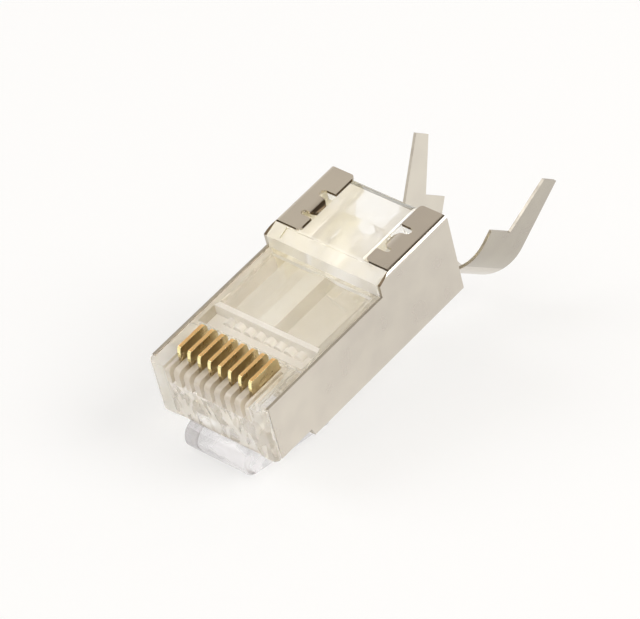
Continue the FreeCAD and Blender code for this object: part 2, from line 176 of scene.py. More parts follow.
def show(material, surface):
    tree = material.node_tree
    tree.links.new(surface, tree.nodes["Material Output"].inputs["Surface"])


# %% [markdown]
# ## Telling rays apart
#
# A ray that comes from the camera, one that left a mirror and one that only carries shadow can each be given
# a different answer by the same surface. The first helper gives the share that was set for the kind of ray
# that arrives, and the second finds the rays that have already bounced many times.

# %% Ray helpers


def ray_share(tree, shares):
    """The largest of the shares given to the kinds of ray that apply, zero for all others."""
    path = add_node(tree, "ShaderNodeLightPath")
    total = None
    for kind, share in shares.items():
        part = maths(tree, "MULTIPLY", path.outputs[kind], share)
        total = part if total is None else maths(tree, "MAXIMUM", total, part)
    return total


def deeper_than(tree, bounces):
    """One for rays that have already bounced more often than the number given, else zero."""
    path = add_node(tree, "ShaderNodeLightPath")
    return maths(tree, "GREATER_THAN", path.outputs["Ray Depth"], bounces)


# %% [markdown]
# ## Floor
#
# The floor is white paper that glows a little for the camera, and for rays that met metal or clear plastic
# first. That gives a clean white ground, yet part of its light still comes from the lamps, so the plug's
# soft shadow stays. Stronger lamps could whiten it too, but they would wash out the plug. Rays that light
# other things see plain paper, so no extra light reaches the plug. Metal sees a table that is a little
# brighter in front of the plug than behind it, which gives the long side wall its slow change of tone from
# nose to clamp.

# %% Floor
FLOOR_SIZE = 4.0
WHITE = (1, 1, 1, 1)
PAPER = (0.965, 0.975, 0.985, 1)
PAPER_GLOW = 0.55
PAPER_GLOW_IN_METAL = 0.60
FADE_DIRECTION = (0.707, 0.707, 0.0)
FADE_SPAN = (0.0, 15 * MM)
FADE_GLOW = (1.14, 0.93)


def faded_glow(tree):
    """A glow that weakens along a direction on the table."""
    place = add_node(tree, "ShaderNodeTexCoord")
    along = vector_maths(tree, "DOT_PRODUCT", "Value", place.outputs["Object"], FADE_DIRECTION)
    glow = add_node(tree, "ShaderNodeEmission", Color=WHITE)
    feed(tree, glow.inputs["Strength"], spread(tree, along, FADE_SPAN, FADE_GLOW))
    return glow.outputs["Emission"]


def paper_material():
    material, paper = start_material("floor_paper", Base_Color=PAPER, Roughness=1.0, Specular_IOR_Level=0.0)
    tree = material.node_tree
    glow = add_node(tree, "ShaderNodeEmission", Color=WHITE, Strength=1.0)
    seen = ray_share(tree, {"Is Camera Ray": PAPER_GLOW, "Is Transmission Ray": PAPER_GLOW})
    mirrored = ray_share(tree, {"Is Glossy Ray": PAPER_GLOW_IN_METAL})
    direct = shader_mix(tree, seen, paper.outputs["BSDF"], glow.outputs["Emission"])
    show(material, shader_mix(tree, mirrored, direct, faded_glow(tree)))
    return material


def add_floor():
    half = FLOOR_SIZE / 2
    corners = [(-half, -half, 0), (half, -half, 0), (half, half, 0), (-half, half, 0)]
    mesh = bpy.data.meshes.new("floor")
    mesh.from_pydata(corners, [], [(0, 1, 2, 3)])
    mesh.materials.append(paper_material())
    floor = bpy.data.objects.new("floor", mesh)
    bpy.context.scene.collection.objects.link(floor)


add_floor()
print("floor", FLOOR_SIZE, "m square")

# %% [markdown]
# ## Lamps and surroundings
#
# Metal and clear plastic have hardly any look of their own: they show what is round them. The surroundings
# are therefore a soft tent, white at the height of the table and dimmer overhead, which leaves the level
# top of the shield darker than its upright walls. Nearly overhead the tent has a dark opening, where a
# camera would look in, and the two top flaps mirror it: that is why they read as darker metal. The camera
# and the clear plastic see plain white in place of the tent. A picture of a real studio could stand in for
# it, but a few nodes are enough for something so smooth. Two broad lamps, one behind to the right and one
# in front to the left, add the bright lines along the folds and the soft shadow.

# %% Tent
TENT_HORIZON = (1.0, 0.985, 0.96, 1)
TENT_TOP = (0.60, 0.55, 0.49, 1)
TENT_BAND = (0.05, 0.85)            # height over which one turns into the other
OPENING_DIRECTION = (0.16, 0.26, 0.95)
OPENING_COLOUR = (0.05, 0.035, 0.015, 1)
OPENING_EDGE = (0.927, 0.9455)      # cosine of the angle off its middle, outer and inner edge


def set_world():
    world = bpy.data.worlds.new("tent")
    world.use_nodes = True
    tree = world.node_tree
    around = add_node(tree, "ShaderNodeTexCoord").outputs["Generated"]
    axes = add_node(tree, "ShaderNodeSeparateXYZ")
    feed(tree, axes.inputs[0], around)
    cloth = colour_mix(tree, spread(tree, axes.outputs["Z"], TENT_BAND), TENT_HORIZON, TENT_TOP)
    middle = Vector(OPENING_DIRECTION).normalized()
    toward = vector_maths(tree, "DOT_PRODUCT", "Value", around, middle)
    tent = colour_mix(tree, spread(tree, toward, OPENING_EDGE), cloth, OPENING_COLOUR)
    plain = ray_share(tree, {"Is Camera Ray": 1.0, "Is Transmission Ray": 1.0})
    feed(tree, tree.nodes["Background"].inputs["Color"], colour_mix(tree, plain, tent, WHITE))
    bpy.context.scene.world = world


set_world()
print("tent nodes", len(bpy.context.scene.world.node_tree.nodes))

# %% Lamps
LAMPS = (                           # name, direction, distance and size in m, watts, colour
    ("lamp_behind", (0.68, 0.32, 0.66), 0.6, 0.40, 1.6, (1.0, 0.98, 0.95)),
    ("lamp_front", (-0.75, -0.45, 0.75), 0.7, 0.50, 1.1, (0.95, 0.97, 1.0)),
)


def add_lamp(name, direction, distance, size, watts, colour):
    data = bpy.data.lights.new(name, "AREA")
    data.shape = "DISK"
    data.size = size
    data.energy = watts
    data.color = colour
    lamp = bpy.data.objects.new(name, data)
    away = Vector(direction).normalized()
    lamp.location = away * distance
    lamp.rotation_mode = "QUATERNION"
    lamp.rotation_quaternion = (-away).to_track_quat("-Z", "Y")
    bpy.context.scene.collection.objects.link(lamp)


for lamp in LAMPS:
    add_lamp(*lamp)
print("lamps", len(LAMPS))

# %% [markdown]
# ## Rounded edges on the solids
#
# A pressed, moulded or stamped edge always has a small round on it, and that round is what catches the
# light. Fillets in the solid could give it too, but they would multiply its faces and change nothing that
# fits or moves. Each piece here starts as a copy of its solid. The copy's loose triangles are merged, flat
# areas are joined into single faces, and the sharp edges that are left get a narrow bevel.

# %% Copy a solid and round its edges
FLAT_ANGLE = math.radians(0.5)
EDGE_ANGLE = math.radians(32)
MERGE_DISTANCE = 0.0005 * MM


def merged_copy(node):
    """The solid's mesh as one joined skin, with each flat area as few faces as possible."""
    skin = bmesh.new()
    skin.from_mesh(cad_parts[node].data)
    bmesh.ops.remove_doubles(skin, verts=skin.verts, dist=MERGE_DISTANCE)
    bmesh.ops.dissolve_limit(skin, angle_limit=FLAT_ANGLE, verts=skin.verts, edges=skin.edges)
    for face in skin.faces:
        face.material_index = 0
    mesh = bpy.data.meshes.new(node + "_skin")
    skin.to_mesh(mesh)
    skin.free()
    return mesh


def rounded_piece(name, mesh, radius, segments=2, edge_slot=-1):
    """An object with bevelled edges; they take the finish in a slot, or that of a face beside them."""
    piece = bpy.data.objects.new(name, mesh)
    bpy.context.scene.collection.objects.link(piece)
    bevel = piece.modifiers.new("edge", "BEVEL")
    bevel.width = radius
    bevel.segments = segments
    bevel.limit_method = "ANGLE"
    bevel.angle_limit = EDGE_ANGLE
    bevel.use_clamp_overlap = True
    bevel.harden_normals = True
    bevel.material = edge_slot
    for face in mesh.polygons:
        face.use_smooth = True
    mesh.set_sharp_from_angle(angle=EDGE_ANGLE)
    return piece


def dress(piece, body, node):
    """Let a piece ride on its body in place of its solid."""
    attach(piece, body)
    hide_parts(node)
    print(piece.name, "rides", body, "faces", len(piece.data.polygons))


# %% [markdown]
# ## Marks of making and handling
#
# Plated metal and moulded plastic both carry a faint unevenness: slow ripples from the tool, and fine marks
# from being tipped out of a bag. They are far too shallow to model, so noise only tips the way that the
# surface seems to look. The two effects go into one node group, so every material can place it with its own
# sizes. The coordinates are the piece's own, turned into millimetres, so the marks stay on the piece when it
# moves.

# %% Marks group
RIPPLE_SPAN = (0.35, 0.65)          # the part of the noise's range that turns into the mask


def millimetres(tree):
    """The piece's own coordinates, in millimetres."""
    place = add_node(tree, "ShaderNodeTexCoord")
    scaled = add_node(tree, "ShaderNodeMapping")
    scaled.inputs["Scale"].default_value = (1 / MM, 1 / MM, 1 / MM)
    tree.links.new(place.outputs["Object"], scaled.inputs["Vector"])
    return scaled.outputs["Vector"]


def start_group(name, inputs, outputs):
    """A node group with named number inputs, each with a plain value, and named number outputs."""
    tree = bpy.data.node_groups.new(name, "ShaderNodeTree")
    for label, value in inputs:
        port = tree.interface.new_socket(name=label, in_out="INPUT", socket_type="NodeSocketFloat")
        port.default_value = value
    for label in outputs:
        tree.interface.new_socket(name=label, in_out="OUTPUT", socket_type="NodeSocketFloat")
    return tree, add_node(tree, "NodeGroupInput").outputs, add_node(tree, "NodeGroupOutput").inputs


def noise(tree, place, scale, detail, roughness=0.5):
    node = add_node(tree, "ShaderNodeTexNoise", Detail=detail, Roughness=roughness)
    feed(tree, node.inputs["Vector"], place)
    feed(tree, node.inputs["Scale"], scale)
    return node


def marks_group():
    tree, given, result = start_group(
        "making_marks", (("Ripple per mm", 0.5), ("Grain per mm", 6.0), ("Grain Share", 0.3)),
        ("Height", "Mask"))
    place = millimetres(tree)
    ripple = noise(tree, place, given["Ripple per mm"], 2.0).outputs["Fac"]
    grain = noise(tree, place, given["Grain per mm"], 3.0, 0.6).outputs["Fac"]
    blend = add_node(tree, "ShaderNodeMix", data_type="FLOAT")
    feed(tree, blend.inputs["Factor"], given["Grain Share"])
    feed(tree, blend.inputs["A"], ripple)
    feed(tree, blend.inputs["B"], grain)
    feed(tree, result["Height"], blend.outputs["Result"])
    feed(tree, result["Mask"], spread(tree, ripple, RIPPLE_SPAN))
    return tree


MARKS = marks_group()
print("marks group", [item.name for item in MARKS.interface.items_tree])

# %% Place the marks


def place_group(material, group, **values):
    """A group in a material, with this material's own values for its inputs."""
    node = add_node(material.node_tree, "ShaderNodeGroup", node_tree=group)
    for name, value in values.items():
        node.inputs[name.replace("_", " ")].default_value = value
    return node


def add_marks(material, shader, ripple, grain, grain_share, depth, roughness):
    """The marks' height bumps the surface, and their mask varies the roughness and is handed back."""
    tree = material.node_tree
    marks = place_group(material, MARKS, Ripple_per_mm=ripple, Grain_per_mm=grain, Grain_Share=grain_share)
    bump = add_node(tree, "ShaderNodeBump", Strength=1.0, Distance=depth)
    feed(tree, bump.inputs["Height"], marks.outputs["Height"])
    feed(tree, shader.inputs["Normal"], bump.outputs["Normal"])
    feed(tree, shader.inputs["Roughness"], spread(tree, marks.outputs["Mask"], (0.0, 1.0), roughness))
    return marks.outputs["Mask"]


# %% [markdown]
# ## Facets seen through clear walls
#
# Behind a clear wall the slots and the blades' legs show as small light and dark facets, drawn out along the
# mould's pull. Walls of pure glass could show them by bending every ray, but in walls so thin that is slow
# and grainy. A second group paints them instead as painted light and painted shade: soft cells, bent a little
# by a slow noise, each with its own tone. The nose and the latch place it with their own cell sizes.

# %% Facets group
BEND_PER_MM = 0.9
CELL_SOFTNESS = 0.6
CELL_SPAN = (0.25, 0.6)             # the part of the cells' range that turns into the mask


def facets_group():
    tree, given, result = start_group(
        "painted_light_and_shade_facets", (("Across per mm", 1.2), ("Along per mm", 0.6), ("Bend", 0.6)), ("Mask",))
    place = millimetres(tree)
    slow = noise(tree, place, BEND_PER_MM, 1.0).outputs["Color"]
    push = vector_maths(tree, "SCALE", "Vector", slow, given["Bend"])
    bent = vector_maths(tree, "ADD", "Vector", place, push)
    sizes = add_node(tree, "ShaderNodeCombineXYZ")
    for axis, name in (("X", "Across per mm"), ("Y", "Along per mm"), ("Z", "Along per mm")):
        feed(tree, sizes.inputs[axis], given[name])
    cells = add_node(tree, "ShaderNodeTexVoronoi", feature="SMOOTH_F1", Scale=1.0, Smoothness=CELL_SOFTNESS)
    stretched = vector_maths(tree, "MULTIPLY", "Vector", bent, sizes.outputs["Vector"])
    feed(tree, cells.inputs["Vector"], stretched)
    tone = add_node(tree, "ShaderNodeSeparateColor")
    feed(tree, tone.inputs["Color"], cells.outputs["Color"])
    feed(tree, result["Mask"], spread(tree, tone.outputs["Red"], CELL_SPAN))
    return tree


PAINTED_FACETS = facets_group()
print("facets group", [item.name for item in PAINTED_FACETS.interface.items_tree])

# %% [markdown]
# ## The tone of a finish
#
# No plating and no moulding has quite one colour. Each finish therefore has two tones, and a mask decides
# at every point how much of the second shows.

# %% Tone


def tinted(material, shader, mask, tones):
    """Let the base colour wander between two tones with a mask."""
    tree = material.node_tree
    feed(tree, shader.inputs["Base Color"], colour_mix(tree, mask, *tones))


# %% [markdown]
# ## Plated metal
#
# Nickel and gold plate are plain metal shaders with the marks on top. Inside the clear nose a ray bounces
# many times between metal and plastic before it is given up as black, which would make the plastic look
# dirty. A higher limit on bounces would cure that slowly. Here a ray that has already bounced four times
# gets a warm average of the tent's light from the metal instead.

# %% Plated metal
METAL_BOUNCES = 3.5
INNER_GLOW = (0.64, 0.57, 0.44, 1)
METAL_GRAIN_SHARE = 0.25


def metal_plate(name, tones, ripple, grain, depth, roughness):
    """Plated metal; a ray that is already lost among the clear walls finds the tent's average light."""
    material, shader = start_material(name, Metallic=1.0)
    mask = add_marks(material, shader, ripple, grain, METAL_GRAIN_SHARE, depth, roughness)
    tinted(material, shader, mask, tones)
    tree = material.node_tree
    glow = add_node(tree, "ShaderNodeEmission", Color=INNER_GLOW, Strength=1.0)
    late = deeper_than(tree, METAL_BOUNCES)
    show(material, shader_mix(tree, late, shader.outputs["BSDF"], glow.outputs["Emission"]))
    return material


# %% [markdown]
# ## Clear plastic
#
# A thin moulding is neither glass nor milk: its walls let most light through, but they carry a haze and a
# bright polish. Glass alone would be too dark inside the shield, and a milky shader alone would hide what
# stands behind. Each clear finish mixes a hazy shader that is partly open with a glass shader. Shadow rays
# go nearly straight through it, as real clear plastic throws only a faint shadow, and so do rays that have
# already crossed many walls. A finish may take its tones from the facets in place of the marks.

# %% Clear plastic
HAZE_IOR = 1.9
GLASS_IOR = 1.5
GLASS_ROUGHNESS = 0.03
GLASS_BOUNCES = 6.5
SHADOW_PASS = 0.85
SHADOW_TINT = (1.0, 0.98, 0.93, 1)
MOULD_MARKS = dict(ripple=0.6, grain=5.0, grain_share=0.2, depth=0.004 * MM, roughness=(0.03, 0.07))


def clear_plastic(name, tones, glass_share, haze_alpha, cells=None):
    """Polished haze and clear glass in one skin; shadow rays and late rays go straight on through it."""
    material, haze = start_material(name, IOR=HAZE_IOR, Alpha=haze_alpha)
    tree = material.node_tree
    mask = add_marks(material, haze, **MOULD_MARKS)
    # Painted facets of light and shade take the place of the marks' tone.
    if cells:
        mask = place_group(material, PAINTED_FACETS, **cells).outputs["Mask"]
    tinted(material, haze, mask, tones)
    glass = add_node(tree, "ShaderNodeBsdfPrincipled", Transmission_Weight=1.0, IOR=GLASS_IOR,
                     Roughness=GLASS_ROUGHNESS)
    glass.inputs["Base Color"].default_value = WHITE
    passing = add_node(tree, "ShaderNodeBsdfTransparent", Color=SHADOW_TINT)
    skin = shader_mix(tree, glass_share, haze.outputs["BSDF"], glass.outputs["BSDF"])
    share = ray_share(tree, {"Is Shadow Ray": SHADOW_PASS})
    lit = shader_mix(tree, share, skin, passing.outputs["BSDF"])
    late = deeper_than(tree, GLASS_BOUNCES)
    show(material, shader_mix(tree, late, lit, passing.outputs["BSDF"]))
    return material


# %% [markdown]
# ## Metal finishes
#
# The sheet is one nickel plate. Its right wing stands in the lee of the plug and gets a darker copy of the
# nickel, a painted shade; its left wing stands in the open light and, with the left flap, gets a lighter
# copy, a painted light. Its cut edges are dull, and those that sit on the housing see only shade, which is
# painted on them as a near-black finish. The blades are gold: orange where they were rolled, and a little
# smoother on their noses, which are painted pale as a reflection of the bright table. Their flanks are
# painted dark as shade, darkest where they stand in a slot.

# %% Metal finishes
ROLLED = dict(ripple=0.35, grain=4.0, depth=0.010 * MM, roughness=(0.20, 0.28))
CUT = dict(ripple=1.0, grain=6.0, depth=0.010 * MM, roughness=(0.30, 0.42))
STRUCK = dict(ripple=1.2, grain=8.0, depth=0.003 * MM, roughness=(0.25, 0.35))
NICKEL = metal_plate("nickel_plate", ((0.68, 0.63, 0.55, 1), (0.64, 0.59, 0.52, 1)), **ROLLED)
# Darker and lighter copies of the nickel: painted shade for the right wing, painted light for the left wing
# and the left flap.
NICKEL_PAINTED_SHADE = metal_plate("nickel_painted_shade", ((0.54, 0.50, 0.43, 1), (0.51, 0.47, 0.41, 1)), **ROLLED)
NICKEL_PAINTED_LIGHT = metal_plate("nickel_painted_light", ((0.74, 0.69, 0.60, 1), (0.70, 0.65, 0.57, 1)), **ROLLED)
SHEARED = metal_plate("sheared_edge", ((0.55, 0.51, 0.44, 1), (0.46, 0.42, 0.36, 1)), **CUT)
# Near black: painted shade on the cut edges that sit on the housing, and a painted dark reflection on the end
# of the left claw.
SEATED_EDGE_PAINTED_SHADE = metal_plate("sheared_edge_painted_shade", ((0.16, 0.12, 0.08, 1), (0.11, 0.08, 0.05, 1)), **CUT)
GOLD = metal_plate("gold_plate", ((1.0, 0.66, 0.30, 1), (0.97, 0.62, 0.27, 1)), ripple=1.2, grain=12.0,
                   depth=0.003 * MM, roughness=(0.18, 0.26))
# Pale gold: a painted reflection of the bright table on the blades' noses, which are also a little smoother.
GOLD_NOSE_PAINTED_REFLECTION = metal_plate("gold_nose_painted_reflection", ((1.0, 0.90, 0.50, 1), (1.0, 0.84, 0.42, 1)), ripple=1.2, grain=8.0,
                        depth=0.003 * MM, roughness=(0.12, 0.18))
# Dark gold: painted shade on the flanks, and a darker painted shade where a blade stands in a slot.
GOLD_FLANK_PAINTED_SHADE = metal_plate("gold_flank_painted_shade", ((0.58, 0.47, 0.27, 1), (0.48, 0.38, 0.20, 1)), **STRUCK)
GOLD_SLOT_PAINTED_SHADE = metal_plate("gold_in_slot_painted_shade", ((0.42, 0.33, 0.19, 1), (0.35, 0.27, 0.15, 1)), **STRUCK)
print("metal finishes", sum(m.name.startswith(("nickel", "sheared", "gold")) for m in bpy.data.materials))

# %% [markdown]
# ## Plastic finishes
#
# One clear plastic shows many tones, by what lies behind each wall: milky where a wall is thick, pale at the
# step, warm where it faces lit metal, and dark where it faces shade. The warm tone is painted light, and the
# dark tones are painted shade. Each finish has its two tones, the share of clear glass in it, and how closed
# its haze is.

# %% Plastic finishes
CLEAR = clear_plastic("clear_polycarbonate", ((1.0, 0.985, 0.93, 1), (1.0, 0.97, 0.87, 1)), 0.70, 0.6)
MILKY = clear_plastic("milky_wall", ((1.0, 0.985, 0.95, 1), (1.0, 0.975, 0.91, 1)), 0.50, 0.82)
# Darker tones: painted shade on the floor of the main pocket, which lies deep inside the shield.
POCKET_PAINTED_SHADE = clear_plastic("pocket_floor_painted_shade", ((0.74, 0.69, 0.59, 1), (0.68, 0.63, 0.54, 1)), 0.62, 0.7)
NOSE_BLOCK = clear_plastic("nose_block", ((1.0, 0.985, 0.95, 1), (1.0, 0.975, 0.91, 1)), 0.58, 0.75)
PALE = clear_plastic("pale_step", ((1.0, 0.985, 0.96, 1), (1.0, 0.97, 0.94, 1)), 0.40, 0.85)
RIDGE_WHITE = clear_plastic("moulded_ridge", ((1.0, 0.98, 0.95, 1), (0.97, 0.94, 0.90, 1)), 0.30, 0.85)
FIN_HAZE = clear_plastic("moulded_fins", ((0.88, 0.81, 0.71, 1), (0.80, 0.73, 0.63, 1)), 0.45, 0.75)
# Dark tones: painted shade on walls that face dark parts of the shield.
WALL_PAINTED_SHADE = clear_plastic("wall_painted_shade", ((0.50, 0.43, 0.31, 1), (0.42, 0.36, 0.25, 1)), 0.40, 0.75)
# Darker tones: painted shade on the walls of the slots between the blades.
SLOT_WALL_PAINTED_SHADE = clear_plastic("slot_wall_painted_shade", ((0.72, 0.65, 0.54, 1), (0.66, 0.59, 0.48, 1)), 0.45, 0.8)
# Warm yellow: painted light on walls beside lit metal.
WALL_PAINTED_WARM_LIGHT = clear_plastic("wall_painted_warm_light", ((1.0, 0.95, 0.72, 1), (1.0, 0.92, 0.64, 1)), 0.25, 0.9)
# Near black: painted shade on the strip along the rear top edge.
REAR_EDGE_PAINTED_SHADE = clear_plastic("rear_edge_painted_shade", ((0.20, 0.20, 0.16, 1), (0.16, 0.16, 0.13, 1)), 0.30, 0.85)
# Light and dark cells on the front wall: painted light and painted shade for what stands behind it.
NOSE_CELLS = dict(Across_per_mm=2.2, Along_per_mm=0.9, Bend=0.6)
NOSE_WALL_PAINTED_LIGHT_AND_SHADE = clear_plastic("nose_wall_painted_light_and_shade", ((0.98, 0.94, 0.88, 1), (0.56, 0.50, 0.43, 1)), 0.45, 0.75,
                           NOSE_CELLS)
# Dark tones with light and dark cells: painted shade and painted light on the latch.
LATCH_CELLS = dict(Across_per_mm=0.5, Along_per_mm=1.2, Bend=0.5)
LATCH_PAINTED_SHADE_AND_LIGHT = clear_plastic("latch_polycarbonate_painted_shade_and_light", ((0.68, 0.64, 0.65, 1), (0.28, 0.25, 0.25, 1)), 0.45,
                            0.75, LATCH_CELLS)
print("materials so far", len(bpy.data.materials))

# %% [markdown]
# ## Painting faces by place
#
# A folded or moulded piece is one skin, but parts of it differ: a sheet is bright on its faces and dull where
# it was cut, and a clear moulding shows dark walls in some corners and milky ribs in others. Each finish goes
# to the faces whose middle lies in a box, given in millimetres in the plug's own frame, and that look along
# a direction. Faces could be picked by number instead, but their numbers change whenever the solid does.
# Where a finish has to stop inside a flat face, the face is cut along a plane first.

# %% The plug's own frame
BODY_TILT = math.radians(13)
BODY_PLACE = Vector((0, -15.906, 1.5141)) * MM
TO_BODY = Quaternion((1, 0, 0), -BODY_TILT)


def in_body(point):
    """A point in the plug's own frame, in millimetres: nose at zero, along +y to the cable."""
    return TO_BODY @ (Vector(point) - BODY_PLACE) / MM


def from_body(point):
    """The place in the scene of a point in the plug's own frame."""
    return TO_BODY.inverted() @ Vector(point) * MM + BODY_PLACE


print("nose face at", [round(c / MM, 2) for c in from_body((0, 0, 0))], "mm")

# %% Cut and paint
RIGHT, LEFT, AHEAD, UP = (1, 0, 0), (-1, 0, 0), (0, -1, 0), (0, 0, 1)
LENGTHWISE = (0, 1, 0)
ANY_WAY = (UP, -1.0)                # every face looks at least this little upwards


def within(point, low, high):
    return all(a <= m <= b for a, m, b in zip(low, point, high))


def cut_faces(mesh, low, high, point, direction):
    """Cut the faces whose middles lie in a box along a plane, all in the plug's own frame."""
    skin = bmesh.new()
    skin.from_mesh(mesh)
    faces = [f for f in skin.faces if within(in_body(f.calc_center_median()), low, high)]
    around = faces + list({e for f in faces for e in f.edges}) + list({v for f in faces for v in f.verts})
    bmesh.ops.bisect_plane(skin, geom=around, plane_co=from_body(point),
                           plane_no=TO_BODY.inverted() @ Vector(direction))
    skin.to_mesh(mesh)
    skin.free()


def coat(mesh, finishes, rules):
    """Give a mesh its finishes and paint the faces that the rules pick; a later rule wins."""
    mesh.materials.clear()
    for finish in finishes:
        mesh.materials.append(finish)
    counts = {}
    for face in mesh.polygons:
        middle = in_body(face.center)
        normal = TO_BODY @ face.normal
        for what, finish, low, high, direction, least in rules:
            if within(middle, low, high) and normal.dot(Vector(direction)) >= least:
                face.material_index = mesh.materials.find(finish.name)
                counts[what] = counts.get(what, 0) + 1
    print(mesh.name, "painted", counts, "of", len(mesh.polygons))


# %% [markdown]
# ## Shield
#
# The shield is one stamped sheet, folded round the housing, with a claw on each top flap and two open wings
# at the cable clamp. It could be made again from a flat outline with a Solidify modifier, but the solid has
# every fold already, so a copy of it is dressed. Its cut edges tell how thick the sheet is: a strip about
# that narrow, between two square corners, is a cut edge. Cut edges are duller than the plated faces, and
# those that sit down on the housing see only shade, so a near-black painted shade is put on them. The rules
# paint shade on the right wing, light on the left wing and the left flap, and a near-black painted
# reflection on the end of that flap's claw.

# %% Shield
SHEET = 0.25 * MM
STRIP_WIDTH = 1.2 * SHEET
SHARP_CORNER = math.radians(60)
FLAP_LEVEL = 7.45
SHIELD_EDGE = 0.08 * MM
SHIELD_FINISHES = (NICKEL, SHEARED, SEATED_EDGE_PAINTED_SHADE, NICKEL_PAINTED_SHADE, NICKEL_PAINTED_LIGHT)
SHIELD_RULES = (
    # The wings and the left flap get painted shade and painted light.
    ("right wing", NICKEL_PAINTED_SHADE, (3.0, 21.9, -9), (14, 40, 20), RIGHT, 0.3),
    ("left wing", NICKEL_PAINTED_LIGHT, (-14, 21.9, -9), (-4.0, 40, 20), RIGHT, 0.7),
    ("left flap", NICKEL_PAINTED_LIGHT, (-5.9, 15.0, 7.85), (-3.2, 22.0, 7.95), UP, 0.98),
    # The end of the left claw gets the near-black finish as a painted dark reflection.
    ("left claw's end", SEATED_EDGE_PAINTED_SHADE, (-4.3, 16.9, 6.4), (-2.9, 19.0, 7.95), RIGHT, 0.25),
)


def is_sheared(face):
    """A narrow strip between two square corners is where the sheet was cut."""
    width = 2 * face.calc_area() / face.calc_perimeter()
    long_edges = sorted(face.edges, key=lambda e: e.calc_length())[-2:]
    return width < STRIP_WIDTH and all(e.calc_face_angle(0) > SHARP_CORNER for e in long_edges)


def mark_sheared_edges(mesh):
    skin = bmesh.new()
    skin.from_mesh(mesh)
    sheared = [face for face in skin.faces if is_sheared(face)]
    for face in sheared:
        # Cut edges above the flaps' level sit on the housing and get the near-black painted shade.
        seated = in_body(face.calc_center_median()).z > FLAP_LEVEL
        face.material_index = SHIELD_FINISHES.index(SEATED_EDGE_PAINTED_SHADE if seated else SHEARED)
    skin.to_mesh(mesh)
    skin.free()
    return len(sheared)


shield_mesh = merged_copy("shield")
coat(shield_mesh, SHIELD_FINISHES, SHIELD_RULES)
print("sheared faces", mark_sheared_edges(shield_mesh), "of", len(shield_mesh.polygons))
shield = rounded_piece("shield_folded", shield_mesh, SHIELD_EDGE, edge_slot=SHIELD_FINISHES.index(NICKEL))
dress(shield, "plug_body", "shield")

# %% [markdown]
# ## Housing
#
# The moulding is clear, with milky ribs: the comb at the nose, the ridge across its back and the round ends
# of the wire channels. It is milky too where it is thick, as on the step and the rear top, and beside lit
# metal a warm light is painted on it. A few walls face dark parts of the shield, and that shade is painted on
# them: the lengthwise rib's right flank, the left end of the front pocket, the strip along the rear edge and
# the walls of the slots; the floor of the main pocket gets a lighter painted shade. The front wall, under the
# comb, has painted facets of light and shade for what stands behind it. One clear finish all over would be
# simpler, but it would lose these differences, so each place gets its own.

# %% Housing finishes
HOUSING_EDGE = 0.06 * MM
HOUSING_FINISHES = (                # a bevel between two finishes takes the one that comes first here
    CLEAR, RIDGE_WHITE, FIN_HAZE, WALL_PAINTED_SHADE, SLOT_WALL_PAINTED_SHADE, WALL_PAINTED_WARM_LIGHT, MILKY, PALE, REAR_EDGE_PAINTED_SHADE, NOSE_WALL_PAINTED_LIGHT_AND_SHADE, POCKET_PAINTED_SHADE,
    NOSE_BLOCK)
HOUSING_RULES = (
    # The front wall gets painted facets of light and shade.
    ("front wall", NOSE_WALL_PAINTED_LIGHT_AND_SHADE, (-5.7, -0.1, -0.1), (5.7, 0.3, 6.3), AHEAD, 0.6),
    ("nose's left block", NOSE_BLOCK, (-5.7, -0.1, 1.0), (-4.3, 5.0, 6.3), *ANY_WAY),
    ("rear top and slope", MILKY, (-5.7, 13.7, 6.2), (5.7, 21.5, 8.0), UP, 0.3),
    ("step", PALE, (-5.7, 13.4, 5.7), (5.7, 14.0, 7.45), AHEAD, 0.9),
    # The rear of the left side and the left of the bore's mouth get painted warm light.
    ("rear of the left side", WALL_PAINTED_WARM_LIGHT, (-5.7, 14.0, 0.2), (-5.4, 22.0, 7.0), LEFT, 0.9),
    ("left of the bore's mouth", WALL_PAINTED_WARM_LIGHT, (-3.6, 17.0, 1.0), (-0.1, 19.2, 7.0), *ANY_WAY),
    ("comb", FIN_HAZE, (-4.3, -0.1, 4.4), (4.3, 4.6, 6.3), *ANY_WAY),
    # The slot walls get painted shade.
    ("slot walls", SLOT_WALL_PAINTED_SHADE, (-4.3, 0.0, 3.0), (4.3, 4.6, 6.1), RIGHT, 0.9),
    ("channel ends", RIDGE_WHITE, (-4.2, 6.2, 5.1), (4.2, 7.0, 5.75), *ANY_WAY),
    ("ridge", RIDGE_WHITE, (-5.2, 6.9, 5.9), (5.2, 7.45, 6.3), *ANY_WAY),
    # The floor of the main pocket gets painted shade.
    ("main pocket's floor", POCKET_PAINTED_SHADE, (-5.1, 7.4, 5.75), (5.1, 13.6, 5.85), UP, 0.9),
    # The rib's right flank and the front pocket's left end get painted shade.
    ("rib's right flank", WALL_PAINTED_SHADE, (0.35, 7.4, 5.75), (1.45, 13.5, 6.2), RIGHT, 0.1),
    ("front pocket's left end", WALL_PAINTED_SHADE, (-5.3, 5.0, 5.1), (-5.1, 7.0, 6.3), RIGHT, 0.5),
    # The strip along the rear edge gets painted shade.
    ("strip along the rear edge", REAR_EDGE_PAINTED_SHADE, (-3.4, 21.10, 7.6), (3.4, 21.8, 8.0), UP, 0.3),
)
